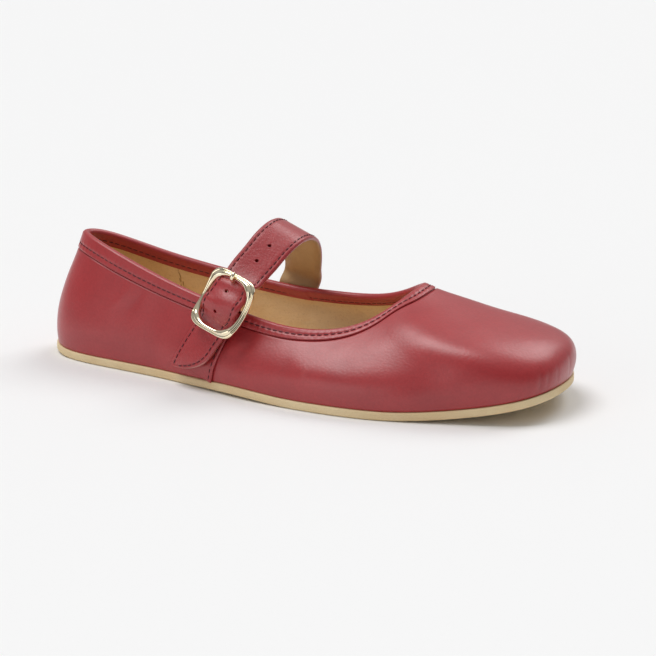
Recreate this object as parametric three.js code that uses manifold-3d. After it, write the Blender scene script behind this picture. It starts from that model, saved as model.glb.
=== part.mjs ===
// Mary jane shoe, right foot, standing on its sole. Units are millimetres.
// +X runs to the toe, +Y to the inner (medial) side, +Z up.

import * as THREE from 'three';
import { mergeVertices } from 'three/addons/utils/BufferGeometryUtils.js';
import Module from 'manifold-3d';

const wasm = await Module();
wasm.setup();

// Driving sizes
const shoeLength = 254;
const ballWidth = 94;
const heelHeight = 57;
const instepHeight = 47;
const soleThickness = 3.8;
const toeSpring = 10.5;
const wall = 2;
const clearance = 0.3;

// Sole and insole
const soleOverhang = 0.8;
const soleEdgeRound = 1.3;
const archLift = 1;
const heelLift = 1.2;
const insoleThickness = 2.4;
const marginWidth = 10;
const marginThickness = 1.4;

// Topline binding
const bindingAtHeel = 8.4;
const bindingAtThroat = 6;
const bindingInside = 7;
const bindingThickness = 0.6;
const skive = 0.7;

// Strap, its buckle and the tab that holds the buckle
const strapWidth = 18.6;
const strapThickness = 2.2;
const strapHeight = 65.6;
const holeDiameter = 1.6;
const holeSpacing = 8.8;
const buckleLength = 28.5;
const buckleWidth = 26.9;
const railWidth = 3.1;
const railThickness = 2.2;
const railDip = 1.6;
const barDiameter = 1.4;
const prongDiameter = 1.5;
const tabWidth = 16;
const tabThickness = 0.9;
const tabReturn = 5.2;

// Mesh fineness
const ringSteps = 80;
const wallRows = 12;
const soleSteps = 44;

// One row for each station round the shoe, from the heel's back by the outer side to the toe
// and back by the inner side. footAlong and topAlong are shares of shoeLength, footSide and
// topSide of ballWidth. The topline's height is heel * heelHeight + instep * instepHeight.
// bulge and roof lean the wall out at its foot and at its top, rise and drop set how far up
// and down that reaches: bulge and roof are shares of ballWidth, rise and drop of instepHeight.
const lastTable = [
  // footAlong, footSide, topAlong, topSide, heel, instep, bulge, rise, roof, drop
  ['heelBack', 0.003, -0.01, 0.049, 0, 1, 0, 0.038, 0.42, 0.039, 0.28],
  ['heelCornerOuter', 0.042, -0.205, 0.087, -0.11, 0.985, 0, 0.035, 0.4, 0.035, 0.28],
  ['heelSideOuter', 0.154, -0.285, 0.188, -0.195, 0.86, 0, 0.027, 0.34, 0.03, 0.27],
  ['quarterOuter', 0.299, -0.35, 0.315, -0.27, 0.36, 0.435, 0.022, 0.3, 0.025, 0.25],
  ['waistOuter', 0.448, -0.465, 0.432, -0.328, 0, 0.763, 0.023, 0.3, 0.032, 0.25],
  ['ballBackOuter', 0.594, -0.517, 0.534, -0.34, 0, 0.69, 0.032, 0.32, 0.073, 0.23],
  ['ballOuter', 0.724, -0.498, 0.624, -0.275, 0, 0.715, 0.037, 0.36, 0.147, 0.21],
  ['toeSideOuter', 0.853, -0.397, 0.677, -0.165, 0, 0.845, 0.043, 0.41, 0.277, 0.22],
  ['toeCornerOuter', 0.962, -0.265, 0.7, -0.065, 0, 0.955, 0.05, 0.455, 0.43, 0.26],
  ['toeTip', 0.99, 0, 0.708, 0.027, 0, 1.005, 0.068, 0.5, 0.523, 0.33],
  ['toeCornerInner', 0.972, 0.215, 0.705, 0.115, 0, 1.005, 0.095, 0.51, 0.49, 0.39],
  ['bigToeInner', 0.927, 0.385, 0.672, 0.207, 0, 0.91, 0.085, 0.475, 0.345, 0.385],
  ['toeSideInner', 0.83, 0.478, 0.605, 0.29, 0, 0.76, 0.052, 0.42, 0.187, 0.295],
  ['ballInner', 0.696, 0.468, 0.508, 0.335, 0, 0.702, 0.034, 0.35, 0.09, 0.255],
  ['archInner', 0.522, 0.35, 0.402, 0.32, 0, 0.727, 0.027, 0.32, 0.033, 0.26],
  ['waistInner', 0.36, 0.292, 0.294, 0.278, 0.34, 0.415, 0.023, 0.32, 0.022, 0.25],
  ['heelSideInner', 0.19, 0.305, 0.177, 0.22, 0.8, 0, 0.026, 0.34, 0.026, 0.27],
  ['heelCornerInner', 0.053, 0.215, 0.08, 0.112, 0.955, 0, 0.034, 0.4, 0.03, 0.28],
];
const stations = lastTable.length;

// Smooth closed curve through one column of the table
const hulls = [];
function columnHull(column) {
  if (!hulls[column]) {
    const values = lastTable.map((row) => row[column]);
    let hull = values.slice();
    const passes = 40;
    for (let pass = 0; pass < passes; pass += 1) {
      hull = values.map((value, i) => {
        const before = hull[(i + stations - 1) % stations];
        const after = hull[(i + 1) % stations];
        return (6 * value - before - after) / 4;
      });
    }
    hulls[column] = hull;
  }
  return hulls[column];
}

function tableAt(column, u) {
  const hull = columnHull(column);
  const turn = ((u % stations) + stations) % stations;
  const i = Math.floor(turn);
  const f = turn - i;
  const at = (k) => hull[(i + k + stations) % stations];
  const near = (3 * f ** 3 - 6 * f ** 2 + 4) / 6;
  const far = (-3 * f ** 3 + 3 * f ** 2 + 3 * f + 1) / 6;
  return ((1 - f) ** 3 / 6) * at(-1) + near * at(0) + far * at(1) + (f ** 3 / 6) * at(2);
}

// The sole's underside: flat under heel and forefoot, raised at the arch, the toe and the heel's back
function soleBottom(x) {
  const share = x / shoeLength + 0.5;
  const toe = THREE.MathUtils.clamp((share - 0.71) / 0.29, 0, 1);
  const arch = THREE.MathUtils.clamp((share - 0.3) / 0.28, 0, 1);
  const heel = THREE.MathUtils.clamp((0.08 - share) / 0.08, 0, 1);
  return toeSpring * toe ** 2 + archLift * Math.sin(Math.PI * arch) ** 2 + heelLift * heel ** 2;
}

function footPoint(u) {
  return new THREE.Vector2((tableAt(1, u) - 0.5) * shoeLength, tableAt(2, u) * ballWidth);
}

function footNormal(u) {
  const step = 0.01;
  const along = footPoint(u + step).sub(footPoint(u - step)).normalize();
  return new THREE.Vector2(along.y, -along.x);
}

// The upper's outer face: v is 0 at the sole's edge and 1 at the topline
function lastPoint(u, v) {
  const foot = footPoint(u);
  const out = footNormal(u);
  const footZ = soleBottom(foot.x) + soleThickness + clearance;
  const topX = (tableAt(3, u) - 0.5) * shoeLength;
  const topY = tableAt(4, u) * ballWidth;
  const topZ = tableAt(5, u) * heelHeight + tableAt(6, u) * instepHeight;
  const bulge = tableAt(7, u) * ballWidth;
  const rise = tableAt(8, u) * instepHeight;
  const roof = tableAt(9, u) * ballWidth;
  const drop = tableAt(10, u) * instepHeight;
  const curve = new THREE.CubicBezierCurve3(
    new THREE.Vector3(foot.x, foot.y, footZ),
    new THREE.Vector3(foot.x + out.x * bulge, foot.y + out.y * bulge, footZ + rise),
    new THREE.Vector3(topX + out.x * roof, topY + out.y * roof, topZ - drop),
    new THREE.Vector3(topX, topY, topZ),
  );
  return curve.getPoint(v);
}

function lastNormal(u, v) {
  const step = 0.02;
  const low = Math.max(0, v - step);
  const high = Math.min(1, v + step);
  const round = lastPoint(u + step, v).sub(lastPoint(u - step, v));
  const up = lastPoint(u, high).sub(lastPoint(u, low));
  return round.cross(up).normalize();
}

function shellPoint(u, v, depth) {
  return lastPoint(u, v).addScaledVector(lastNormal(u, v), -depth);
}

// v of the row that lies the given distance below the topline, measured on the surface
function rowBelowTop(u, distance) {
  const steps = 60;
  let walked = 0;
  let last = lastPoint(u, 1);
  for (let i = 1; i <= steps; i += 1) {
    const v = 1 - i / steps;
    const next = lastPoint(u, v);
    const length = next.distanceTo(last);
    if (walked + length > distance) {
      return v + (1 / steps) * (1 - (distance - walked) / length);
    }
    walked += length;
    last = next;
  }
  return 0;
}

// Closed meshes
function signedVolume(points, faces) {
  return faces.reduce((sum, [a, b, c]) => sum + points[a].dot(points[b].clone().cross(points[c])) / 6, 0);
}

function meshOf(name, points, faces, material) {
  if (signedVolume(points, faces) < 0) {
    faces.forEach((face) => face.reverse());
  }
  const geometry = new THREE.BufferGeometry();
  geometry.setAttribute('position', new THREE.Float32BufferAttribute(points.flatMap((p) => p.toArray()), 3));
  geometry.setIndex(faces.flat());
  geometry.computeVertexNormals();
  const mesh = new THREE.Mesh(geometry, material);
  mesh.name = name;
  return mesh;
}

// A tube of any section: rings of points, each joined to the next, closed round or capped
function loftFaces(ringCount, ringSize, closed) {
  const faces = [];
  const last = closed ? ringCount : ringCount - 1;
  for (let i = 0; i < last; i += 1) {
    const next = (i + 1) % ringCount;
    for (let k = 0; k < ringSize; k += 1) {
      const after = (k + 1) % ringSize;
      const a = i * ringSize + k;
      const b = i * ringSize + after;
      const c = next * ringSize + after;
      const d = next * ringSize + k;
      faces.push([a, b, c], [a, c, d]);
    }
  }
  if (!closed) {
    for (let k = 1; k < ringSize - 1; k += 1) {
      const end = (ringCount - 1) * ringSize;
      faces.push([0, k + 1, k], [end, end + k, end + k + 1]);
    }
  }
  return faces;
}

function loft(name, rings, closed, material) {
  const faces = loftFaces(rings.length, rings[0].length, closed);
  return meshOf(name, rings.flat(), faces, material);
}

function toSolid(geometry) {
  const plain = geometry.clone();
  plain.deleteAttribute('normal');
  plain.deleteAttribute('uv');
  const merged = mergeVertices(plain, 1e-4);
  return new wasm.Manifold(new wasm.Mesh({
    numProp: 3,
    vertProperties: new Float32Array(merged.attributes.position.array),
    triVerts: new Uint32Array(merged.index.array),
  }));
}

function fromSolid(name, solid, material) {
  const result = solid.getMesh();
  const geometry = new THREE.BufferGeometry();
  geometry.setAttribute('position', new THREE.BufferAttribute(new Float32Array(result.vertProperties), 3));
  geometry.setIndex(new THREE.BufferAttribute(new Uint32Array(result.triVerts), 1));
  geometry.computeVertexNormals();
  const mesh = new THREE.Mesh(geometry, material);
  mesh.name = name;
  return mesh;
}

const leather = { roughness: 0.45, metalness: 0 };
const redLeather = new THREE.MeshStandardMaterial({ color: 0x963c41, ...leather });
const darkLeather = new THREE.MeshStandardMaterial({ color: 0x8a3238, ...leather });
const tanLeather = new THREE.MeshStandardMaterial({ color: 0xb08a58, roughness: 0.6, metalness: 0 });
const tanRubber = new THREE.MeshStandardMaterial({ color: 0xc8aa78, roughness: 0.7, metalness: 0 });
const paleGold = new THREE.MeshStandardMaterial({ color: 0xe8dcc0, roughness: 0.25, metalness: 1 });

// Upper: one hollow wall all round, with a lasting margin turned in under the insole.
// Its outside is skived under the binding, so the binding lies nearly flush.
const bindingNear = clearance - skive;
const bindingFar = bindingNear + bindingThickness;

function upperTop(u) {
  return rowBelowTop(u, clearance + bindingThickness);
}

function bindingDepth(u) {
  const heelward = THREE.MathUtils.smoothstep(0.45 - tableAt(3, u), 0, 0.35);
  return THREE.MathUtils.lerp(bindingAtThroat, bindingAtHeel, heelward);
}

function makeUpper() {
  const rings = [];
  for (let i = 0; i < ringSteps; i += 1) {
    const u = (i / ringSteps) * stations;
    const foot = footPoint(u);
    const out = footNormal(u);
    const top = upperTop(u);
    const ring = [];
    const plainRows = wallRows - 3;
    const step = rowBelowTop(u, bindingDepth(u) + clearance);
    for (let k = 0; k <= plainRows; k += 1) {
      ring.push(lastPoint(u, (k / plainRows) * step));
    }
    ring.push(shellPoint(u, rowBelowTop(u, bindingDepth(u) + clearance / 2), skive));
    ring.push(shellPoint(u, rowBelowTop(u, bindingDepth(u) / 2), skive));
    ring.push(shellPoint(u, top, skive));
    const insideRows = wallRows - 2;
    for (let k = 0; k <= insideRows; k += 1) {
      ring.push(shellPoint(u, top * (1 - (k / insideRows) * 0.92), wall));
    }
    const underInsole = (reach, lift) => {
      const x = foot.x - out.x * reach;
      const y = foot.y - out.y * reach;
      return new THREE.Vector3(x, y, soleBottom(x) + soleThickness + clearance + lift);
    };
    ring.push(underInsole(wall, marginThickness));
    ring.push(underInsole(marginWidth, marginThickness));
    ring.push(underInsole(marginWidth, 0));
    rings.push(ring);
  }
  return loft('upper', rings, true, redLeather);
}

// Binding: a folded band over the topline, outside, over the edge and inside
function makeBinding() {
  const near = clearance;
  const far = clearance + bindingThickness;
  const rings = [];
  for (let i = 0; i < ringSteps; i += 1) {
    const u = (i / ringSteps) * stations;
    const outside = rowBelowTop(u, bindingDepth(u));
    const inside = rowBelowTop(u, bindingInside);
    const edge = upperTop(u);
    const out = lastNormal(u, edge);
    const up = lastPoint(u, edge).sub(lastPoint(u, edge - 0.02)).normalize();
    const over = (depth, lift) => lastPoint(u, edge).addScaledVector(out, -depth).addScaledVector(up, lift);
    const row = (foot, share) => foot + (edge - foot) * share;
    rings.push([
      shellPoint(u, outside, -bindingNear),
      shellPoint(u, outside, -bindingFar),
      shellPoint(u, row(outside, 0.5), -bindingFar),
      over(-bindingFar, 0),
      over(skive, far),
      over(wall + far * 0.3, far),
      over(wall + far, 0),
      shellPoint(u, row(inside, 0.5), wall + far),
      shellPoint(u, inside, wall + far),
      shellPoint(u, inside, wall + near),
      shellPoint(u, row(inside, 0.5), wall + near),
      over(wall + near, near),
      over(-bindingNear, near),
      shellPoint(u, row(outside, 0.5), -bindingNear),
    ]);
  }
  return loft('topline_binding', rings, true, darkLeather);
}

// Flat pieces that follow the sole: both edges are taken from the same outline
function outlineSides(inset) {
  const outer = [];
  const inner = [];
  const fine = 720;
  for (let i = 0; i < fine; i += 1) {
    const u = (i / fine) * stations;
    const point = footPoint(u).addScaledVector(footNormal(u), -inset);
    (u < stations / 2 ? outer : inner).push(point);
  }
  const all = [...outer, ...inner];
  const rear = Math.min(...all.map((p) => p.x));
  const front = Math.max(...all.map((p) => p.x));
  const sideAt = (x, sign) => {
    let best = null;
    for (let i = 0; i < all.length; i += 1) {
      const a = all[i];
      const b = all[(i + 1) % all.length];
      if ((a.x - x) * (b.x - x) <= 0 && a.x !== b.x) {
        const y = a.y + ((b.y - a.y) * (x - a.x)) / (b.x - a.x);
        best = best === null || sign * y > sign * best ? y : best;
      }
    }
    return best;
  };
  return { rear, front, sideAt };
}

function makeSolePlate(name, inset, edgeRound, bottomAt, topAt, material) {
  const { rear, front, sideAt } = outlineSides(inset);
  const low = outlineSides(inset + edgeRound);
  const rings = [];
  const trim = 0.02;
  for (let i = 0; i <= soleSteps; i += 1) {
    const share = 0.5 - 0.5 * Math.cos((Math.PI * i) / soleSteps);
    const x = THREE.MathUtils.lerp(rear + trim, front - trim, share);
    const lowX = THREE.MathUtils.lerp(low.rear + trim, low.front - trim, share);
    const outer = sideAt(x, -1);
    const inner = sideAt(x, 1);
    const lowOuter = low.sideAt(lowX, -1);
    const lowInner = low.sideAt(lowX, 1);
    const middle = (outer + inner) / 2;
    const lowMiddle = (lowOuter + lowInner) / 2;
    rings.push([
      new THREE.Vector3(lowX, lowOuter, bottomAt(lowX)),
      new THREE.Vector3(lowX, lowMiddle, bottomAt(lowX)),
      new THREE.Vector3(lowX, lowInner, bottomAt(lowX)),
      new THREE.Vector3(x, inner, bottomAt(x) + edgeRound),
      new THREE.Vector3(x, inner, topAt(x)),
      new THREE.Vector3(x, middle, topAt(x)),
      new THREE.Vector3(x, outer, topAt(x)),
      new THREE.Vector3(x, outer, bottomAt(x) + edgeRound),
    ]);
  }
  return loft(name, rings, false, material);
}

function makeOutsole() {
  const top = (x) => soleBottom(x) + soleThickness;
  return makeSolePlate('outsole', -soleOverhang, soleEdgeRound, soleBottom, top, tanRubber);
}

function makeInsole() {
  const seat = soleThickness + clearance + marginThickness + clearance;
  const bottom = (x) => soleBottom(x) + seat;
  const top = (x) => bottom(x) + insoleThickness;
  const inset = wall + 2 * clearance;
  return makeSolePlate('insole', inset, insoleThickness * 0.3, bottom, top, tanLeather);
}

// A place on the upper's outside: side is -1 outer or 1 inner, along and height in millimetres
function wallPlace(side, along, height) {
  const range = side < 0 ? [1, 7] : [11, 17];
  const rowAt = (u) => {
    let low = 0;
    let high = 1;
    for (let i = 0; i < 30; i += 1) {
      const middle = (low + high) / 2;
      if (lastPoint(u, middle).z < height) {
        low = middle;
      } else {
        high = middle;
      }
    }
    return low;
  };
  let [low, high] = range;
  for (let i = 0; i < 30; i += 1) {
    const middle = (low + high) / 2;
    const ahead = lastPoint(middle, rowAt(middle)).x < along;
    if (ahead === side < 0) {
      low = middle;
    } else {
      high = middle;
    }
  }
  return { u: low, v: rowAt(low) };
}

function offWall(side, along, height, lift) {
  const { u, v } = wallPlace(side, along, height);
  return shellPoint(u, v, -lift);
}

// A level or leaning direction along the shoe, turned to lie on the wall at that place
function alongWall(side, along, height, lean) {
  const { u, v } = wallPlace(side, along, height);
  const out = lastNormal(u, v);
  const across = leaning(lean, 0);
  return across.addScaledVector(out, -across.dot(out)).normalize();
}

// The direction across the strap: lean dips its front edge, turn swings it outward, in degrees
function leaning(lean, turn) {
  const dip = THREE.MathUtils.degToRad(lean);
  const swing = THREE.MathUtils.degToRad(turn);
  return new THREE.Vector3(Math.cos(dip) * Math.cos(swing), -Math.cos(dip) * Math.sin(swing), -Math.sin(dip));
}

// The strap's inner face along its middle. Rows on a wall give a lift off it in place of a side.
// along is a share of shoeLength, height of strapHeight, side of ballWidth, the angles in degrees.
const overBinding = 2 * clearance + bindingThickness;
const overTab = overBinding + tabThickness + 2.6 * clearance;
const strapTable = [
  // where, along, height, side or lift, lean, turn
  ['inner', 0.405, 0.213, clearance, 12, 0],
  ['inner', 0.409, 0.305, clearance + 0.5, 12, 0],
  ['inner', 0.414, 0.404, overBinding + clearance, 13, 0],
  ['inner', 0.42, 0.49, overBinding + clearance, 14, 0],
  ['free', 0.425, 0.57, 0.362, 14, -5],
  ['free', 0.432, 0.662, 0.325, 16, -4],
  ['free', 0.442, 0.776, 0.278, 17, -3],
  ['free', 0.451, 0.877, 0.219, 19, -2],
  ['free', 0.458, 0.953, 0.146, 22, 0],
  ['free', 0.462, 0.995, 0.058, 24, 0],
  ['free', 0.462, 1, -0.032, 26, 1],
  ['free', 0.455, 0.953, -0.113, 27, 2],
  ['free', 0.444, 0.869, -0.179, 26, 4],
  ['free', 0.43, 0.774, -0.244, 24, 7],
  ['free', 0.424, 0.684, -0.315, 18, 11],
  ['buckle', 0.414, 0.6, -0.377, 5, 12],
  ['outer', 0.398, 0.457, overTab + 2 * clearance, 16, 0],
  ['outer', 0.379, 0.335, overTab + clearance, 24, 0],
  ['outer', 0.358, 0.206, overTab, 28, 0],
  ['outer', 0.346, 0.12, overTab, 29, 0],
];
const buckleRow = strapTable.findIndex((row) => row[0] === 'buckle');

const sideOf = { inner: 1, outer: -1 };
const strapRows = strapTable.map(([where, alongShare, heightShare, sideOrLift, lean, turn]) => {
  const along = (alongShare - 0.5) * shoeLength;
  const height = heightShare * strapHeight;
  if (!(where in sideOf)) {
    return { place: new THREE.Vector3(along, sideOrLift * ballWidth, height), across: leaning(lean, turn) };
  }
  const side = sideOf[where];
  return { place: offWall(side, along, height, sideOrLift), across: alongWall(side, along, height, lean) };
});

const strapPath = new THREE.CatmullRomCurve3(strapRows.map((row) => row.place), false, 'centripetal');
const strapDivisions = 600;
strapPath.arcLengthDivisions = strapDivisions;
const strapLength = strapPath.getLength();

function strapFrame(distance) {
  const share = THREE.MathUtils.clamp(distance / strapLength, 0, 1);
  const t = strapPath.getUtoTmapping(share) * (strapRows.length - 1);
  const i = Math.min(Math.floor(t), strapRows.length - 2);
  const place = strapPath.getPointAt(share);
  const along = strapPath.getTangentAt(share);
  const across = strapRows[i].across.clone().lerp(strapRows[i + 1].across, t - i);
  across.addScaledVector(along, -across.dot(along)).normalize();
  const out = along.clone().cross(across).normalize();
  return { place, along, across, out };
}

// Round the buckle the strap rises over the centre bar and dips under both ends of the frame
const buckleDivision = Math.round((buckleRow / (strapRows.length - 1)) * strapDivisions);
const buckleDistance = strapPath.getLengths()[buckleDivision];
const barRadius = barDiameter / 2;
const prongRadius = prongDiameter / 2;
const railLow = strapThickness + clearance;
const barLevel = railLow - railDip + barRadius * 0.6;
const eyeRadius = barRadius + clearance + prongRadius;
const strapRise = barLevel + eyeRadius + prongRadius + clearance;
const humpFlat = buckleLength * 0.21;
const humpEnd = buckleLength * 0.37;
const strapSqueeze = 0.12;
const buckleTurn = 4;

function humpShare(distance) {
  const away = Math.abs(distance - buckleDistance);
  return THREE.MathUtils.smoothstep(humpEnd - away, 0, humpEnd - humpFlat);
}

// Half the strap's width, drawn in where it passes through the buckle
function strapHalf(distance) {
  const inside = buckleLength * 0.55 - Math.abs(distance - buckleDistance);
  return (strapWidth / 2) * (1 - strapSqueeze * THREE.MathUtils.smoothstep(inside, 0, buckleLength * 0.2));
}

// The buckle sits turned a little on the strap, its front edge up
const buckleFrame = strapFrame(buckleDistance);
const turned = THREE.MathUtils.degToRad(buckleTurn);
buckleFrame.along.applyAxisAngle(buckleFrame.out, turned);
buckleFrame.across.applyAxisAngle(buckleFrame.out, turned);

// The strap's inner face along its middle, lifted over the centre bar
function strapBase(distance) {
  const frame = strapFrame(distance);
  frame.place.addScaledVector(buckleFrame.out, strapRise * humpShare(distance));
  return frame;
}

// A point by the buckle: down the strap, across it and out from the shoe
function byBuckle(down, across, out) {
  return buckleFrame.place.clone()
    .addScaledVector(buckleFrame.along, down)
    .addScaledVector(buckleFrame.across, across)
    .addScaledVector(buckleFrame.out, out);
}

function makeStrapSolid() {
  const rings = [];
  const steps = 64;
  const cornerLength = strapWidth * 1.08;
  const edge = strapThickness * 0.3;
  for (let i = 0; i <= steps; i += 1) {
    const distance = (i / steps) * strapLength;
    const { place, across, out } = strapBase(distance);
    const half = strapHalf(distance);
    const cut = THREE.MathUtils.clamp((distance - strapLength + cornerLength) / cornerLength, 0, 1);
    const front = half - (strapWidth - 3 * edge) * cut ** 2.4;
    const at = (side, lift) => place.clone().addScaledVector(across, side).addScaledVector(out, lift);
    rings.push([
      at(-half, edge),
      at(-half, strapThickness - edge),
      at(-half + edge, strapThickness),
      at(front - edge, strapThickness),
      at(front, strapThickness - edge),
      at(front, edge),
      at(front - edge, 0),
      at(-half + edge, 0),
    ]);
  }
  return toSolid(loft('strap', rings, false, redLeather).geometry);
}

// Round tube along a list of points
function tubeSolid(points, radius, steps, sides) {
  const path = new THREE.CatmullRomCurve3(points, false, 'centripetal');
  const section = new THREE.Shape();
  for (let i = 0; i < sides; i += 1) {
    const angle = (2 * Math.PI * i) / sides;
    const x = radius * Math.cos(angle);
    const y = radius * Math.sin(angle);
    if (i === 0) {
      section.moveTo(x, y);
    } else {
      section.lineTo(x, y);
    }
  }
  section.closePath();
  const geometry = new THREE.ExtrudeGeometry(section, { steps, extrudePath: path, bevelEnabled: false });
  return toSolid(geometry);
}

// The prong: an eye round the bar, then a straight pin through the strap to the frame's upper end
function prongPoints() {
  const points = [];
  const turns = 10;
  for (let i = 0; i <= turns; i += 1) {
    const angle = THREE.MathUtils.degToRad(-200 + (290 * i) / turns);
    points.push(byBuckle(eyeRadius * Math.cos(angle), 0, barLevel + eyeRadius * Math.sin(angle)));
  }
  const railTop = railLow + railThickness;
  const tip = buckleLength / 2 + clearance;
  const rest = railTop + clearance + prongRadius;
  points.push(byBuckle(-tip * 0.36, 0, barLevel + eyeRadius));
  points.push(byBuckle(-tip * 0.52, 0, barLevel + eyeRadius + 0.15));
  points.push(byBuckle(-tip * 0.68, 0, railTop - 0.1));
  points.push(byBuckle(-tip * 0.8, 0, rest));
  points.push(byBuckle(-tip, 0, rest));
  return points;
}

function makeProngSolid(extra) {
  return tubeSolid(prongPoints(), prongRadius + extra, 36, 6);
}

function makeStrap() {
  let solid = makeStrapSolid();
  const used = buckleDistance - buckleLength * 0.4;
  for (const count of [-2.5, -1.5, 0.75, 1.75]) {
    const { place, out } = strapBase(used + count * holeSpacing);
    const drill = new THREE.CylinderGeometry(holeDiameter / 2, holeDiameter / 2, strapThickness * 3, 12);
    drill.applyQuaternion(new THREE.Quaternion().setFromUnitVectors(new THREE.Vector3(0, 1, 0), out));
    const middle = place.clone().addScaledVector(out, strapThickness / 2);
    drill.translate(middle.x, middle.y, middle.z);
    solid = solid.subtract(toSolid(drill));
  }
  solid = solid.subtract(makeProngSolid(clearance));
  return fromSolid('strap', solid, redLeather);
}

// Buckle: a cushion-shaped bevelled frame, dipped at its middle, with the bar cast in
function makeBuckle() {
  const rings = [];
  const steps = 40;
  const squareness = 5;
  const dipReach = buckleLength * 0.34;
  const outline = (angle, inset) => {
    const c = Math.cos(angle);
    const s = Math.sin(angle);
    const size = (Math.abs(c) ** squareness + Math.abs(s) ** squareness) ** (-1 / squareness);
    return [(buckleLength / 2 - inset) * c * size, (buckleWidth / 2 - inset) * s * size];
  };
  for (let i = 0; i < steps; i += 1) {
    const angle = (2 * Math.PI * i) / steps;
    const at = (inset, level) => {
      const [down, across] = outline(angle, inset);
      const dip = railDip * (1 - Math.min(1, (down / dipReach) ** 2));
      return byBuckle(down, across, railLow + level - dip);
    };
    rings.push([
      at(0, railThickness * 0.1),
      at(0, railThickness * 0.45),
      at(railWidth * 0.4, railThickness),
      at(railWidth * 0.75, railThickness),
      at(railWidth, railThickness * 0.75),
      at(railWidth, 0),
      at(railWidth * 0.15, 0),
    ]);
  }
  const ring = toSolid(loft('buckle', rings, true, paleGold).geometry);
  const reach = buckleWidth / 2 - railWidth * 0.5;
  const bar = tubeSolid([byBuckle(0, -reach, barLevel), byBuckle(0, 0, barLevel), byBuckle(0, reach, barLevel)], barRadius, 2, 12);
  return fromSolid('buckle_frame', ring.add(bar), paleGold);
}

// Tab: from the sole's edge up the outer wall, round the bar and back down on itself
const tabTable = [
  // along, height, lift of its middle off the wall
  [0.363, 0.078, clearance + tabThickness / 2],
  [0.37, 0.183, clearance + tabThickness / 2],
  [0.38, 0.29, clearance + tabThickness / 2 + 0.2],
  [0.39, 0.389, overBinding + tabThickness / 2 + 0.1],
  [0.399, 0.473, overBinding + tabThickness / 2 + 0.1],
];

function makeTab() {
  const lean = 14;
  const rows = tabTable.map(([alongShare, heightShare, lift], i) => {
    const along = (alongShare - 0.5) * shoeLength;
    const height = heightShare * strapHeight;
    const across = alongWall(-1, along, height, (lean * i) / tabTable.length);
    return { place: offWall(-1, along, height, lift), across };
  });
  const add = (down, out) => rows.push({ place: byBuckle(down, 0, out), across: buckleFrame.across });
  const loopRadius = barRadius + clearance + tabThickness / 2;
  const turns = 9;
  const under = strapFrame(buckleDistance + humpEnd * 0.8);
  const lower = -2 * clearance - tabThickness / 2;
  rows.push({ place: under.place.clone().addScaledVector(under.out, lower), across: buckleFrame.across });
  add(2.2, barLevel - loopRadius);
  for (let i = 0; i <= turns; i += 1) {
    const angle = THREE.MathUtils.degToRad(-90 - (200 * i) / turns);
    add(loopRadius * Math.cos(angle), barLevel + loopRadius * Math.sin(angle));
  }
  add(tabReturn * 0.5, barLevel + 0.5);
  add(tabReturn, barLevel - 0.5);
  const path = new THREE.CatmullRomCurve3(rows.map((row) => row.place), false, 'centripetal');
  path.arcLengthDivisions = 800;
  const rings = [];
  const steps = 56;
  const half = tabWidth / 2;
  for (let i = 0; i <= steps; i += 1) {
    const share = i / steps;
    const t = path.getUtoTmapping(share) * (rows.length - 1);
    const k = Math.min(Math.floor(t), rows.length - 2);
    const place = path.getPointAt(share);
    const along = path.getTangentAt(share);
    const across = rows[k].across.clone().lerp(rows[k + 1].across, t - k).normalize();
    const out = across.clone().cross(along).normalize();
    const at = (side, lift) => place.clone().addScaledVector(across, side).addScaledVector(out, lift);
    const lift = tabThickness / 2;
    rings.push([at(-half, -lift), at(half, -lift), at(half, lift), at(-half, lift)]);
  }
  let solid = toSolid(loft('tab', rings, false, redLeather).geometry);
  const slotLength = 2 * (eyeRadius + prongRadius + clearance);
  const slot = new THREE.BoxGeometry(slotLength, prongDiameter + 2 * clearance, slotLength);
  const basis = new THREE.Matrix4().makeBasis(buckleFrame.along, buckleFrame.across, buckleFrame.out);
  slot.applyMatrix4(basis);
  const middle = byBuckle(0, 0, barLevel);
  slot.translate(middle.x, middle.y, middle.z);
  solid = solid.subtract(toSolid(slot));
  return fromSolid('buckle_tab', solid, redLeather);
}

const shoe = new THREE.Group();
shoe.name = 'mary_jane_shoe';
shoe.add(makeOutsole());
shoe.add(makeInsole());
shoe.add(makeUpper());
shoe.add(makeBinding());
shoe.add(makeStrap());
shoe.add(makeBuckle());
shoe.add(fromSolid('buckle_prong', makeProngSolid(0), paleGold));
shoe.add(makeTab());

// The origin is under the middle of the whole shoe, on the ground
const box = new THREE.Box3().setFromObject(shoe);
const centre = box.getCenter(new THREE.Vector3());
shoe.position.set(-centre.x, -centre.y, -box.min.z);

export default shoe;
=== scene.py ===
import math
import bmesh
import bpy
import numpy as np
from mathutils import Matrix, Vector


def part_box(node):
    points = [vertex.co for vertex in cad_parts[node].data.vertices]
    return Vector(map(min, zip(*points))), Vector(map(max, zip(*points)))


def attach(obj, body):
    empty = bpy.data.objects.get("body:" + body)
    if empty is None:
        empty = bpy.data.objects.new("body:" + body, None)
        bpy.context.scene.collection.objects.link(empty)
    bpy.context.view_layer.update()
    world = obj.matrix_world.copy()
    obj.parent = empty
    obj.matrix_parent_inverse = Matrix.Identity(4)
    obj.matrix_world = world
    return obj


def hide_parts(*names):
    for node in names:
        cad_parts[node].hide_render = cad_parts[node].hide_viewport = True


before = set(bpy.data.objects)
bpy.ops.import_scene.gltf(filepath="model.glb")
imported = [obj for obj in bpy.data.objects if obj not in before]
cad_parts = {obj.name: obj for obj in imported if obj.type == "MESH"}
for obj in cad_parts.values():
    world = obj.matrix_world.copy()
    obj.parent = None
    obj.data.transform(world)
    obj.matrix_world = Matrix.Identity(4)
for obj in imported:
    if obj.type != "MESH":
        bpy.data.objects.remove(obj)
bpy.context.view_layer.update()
print("frame loaded:", len(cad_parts), "nodes")

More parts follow.
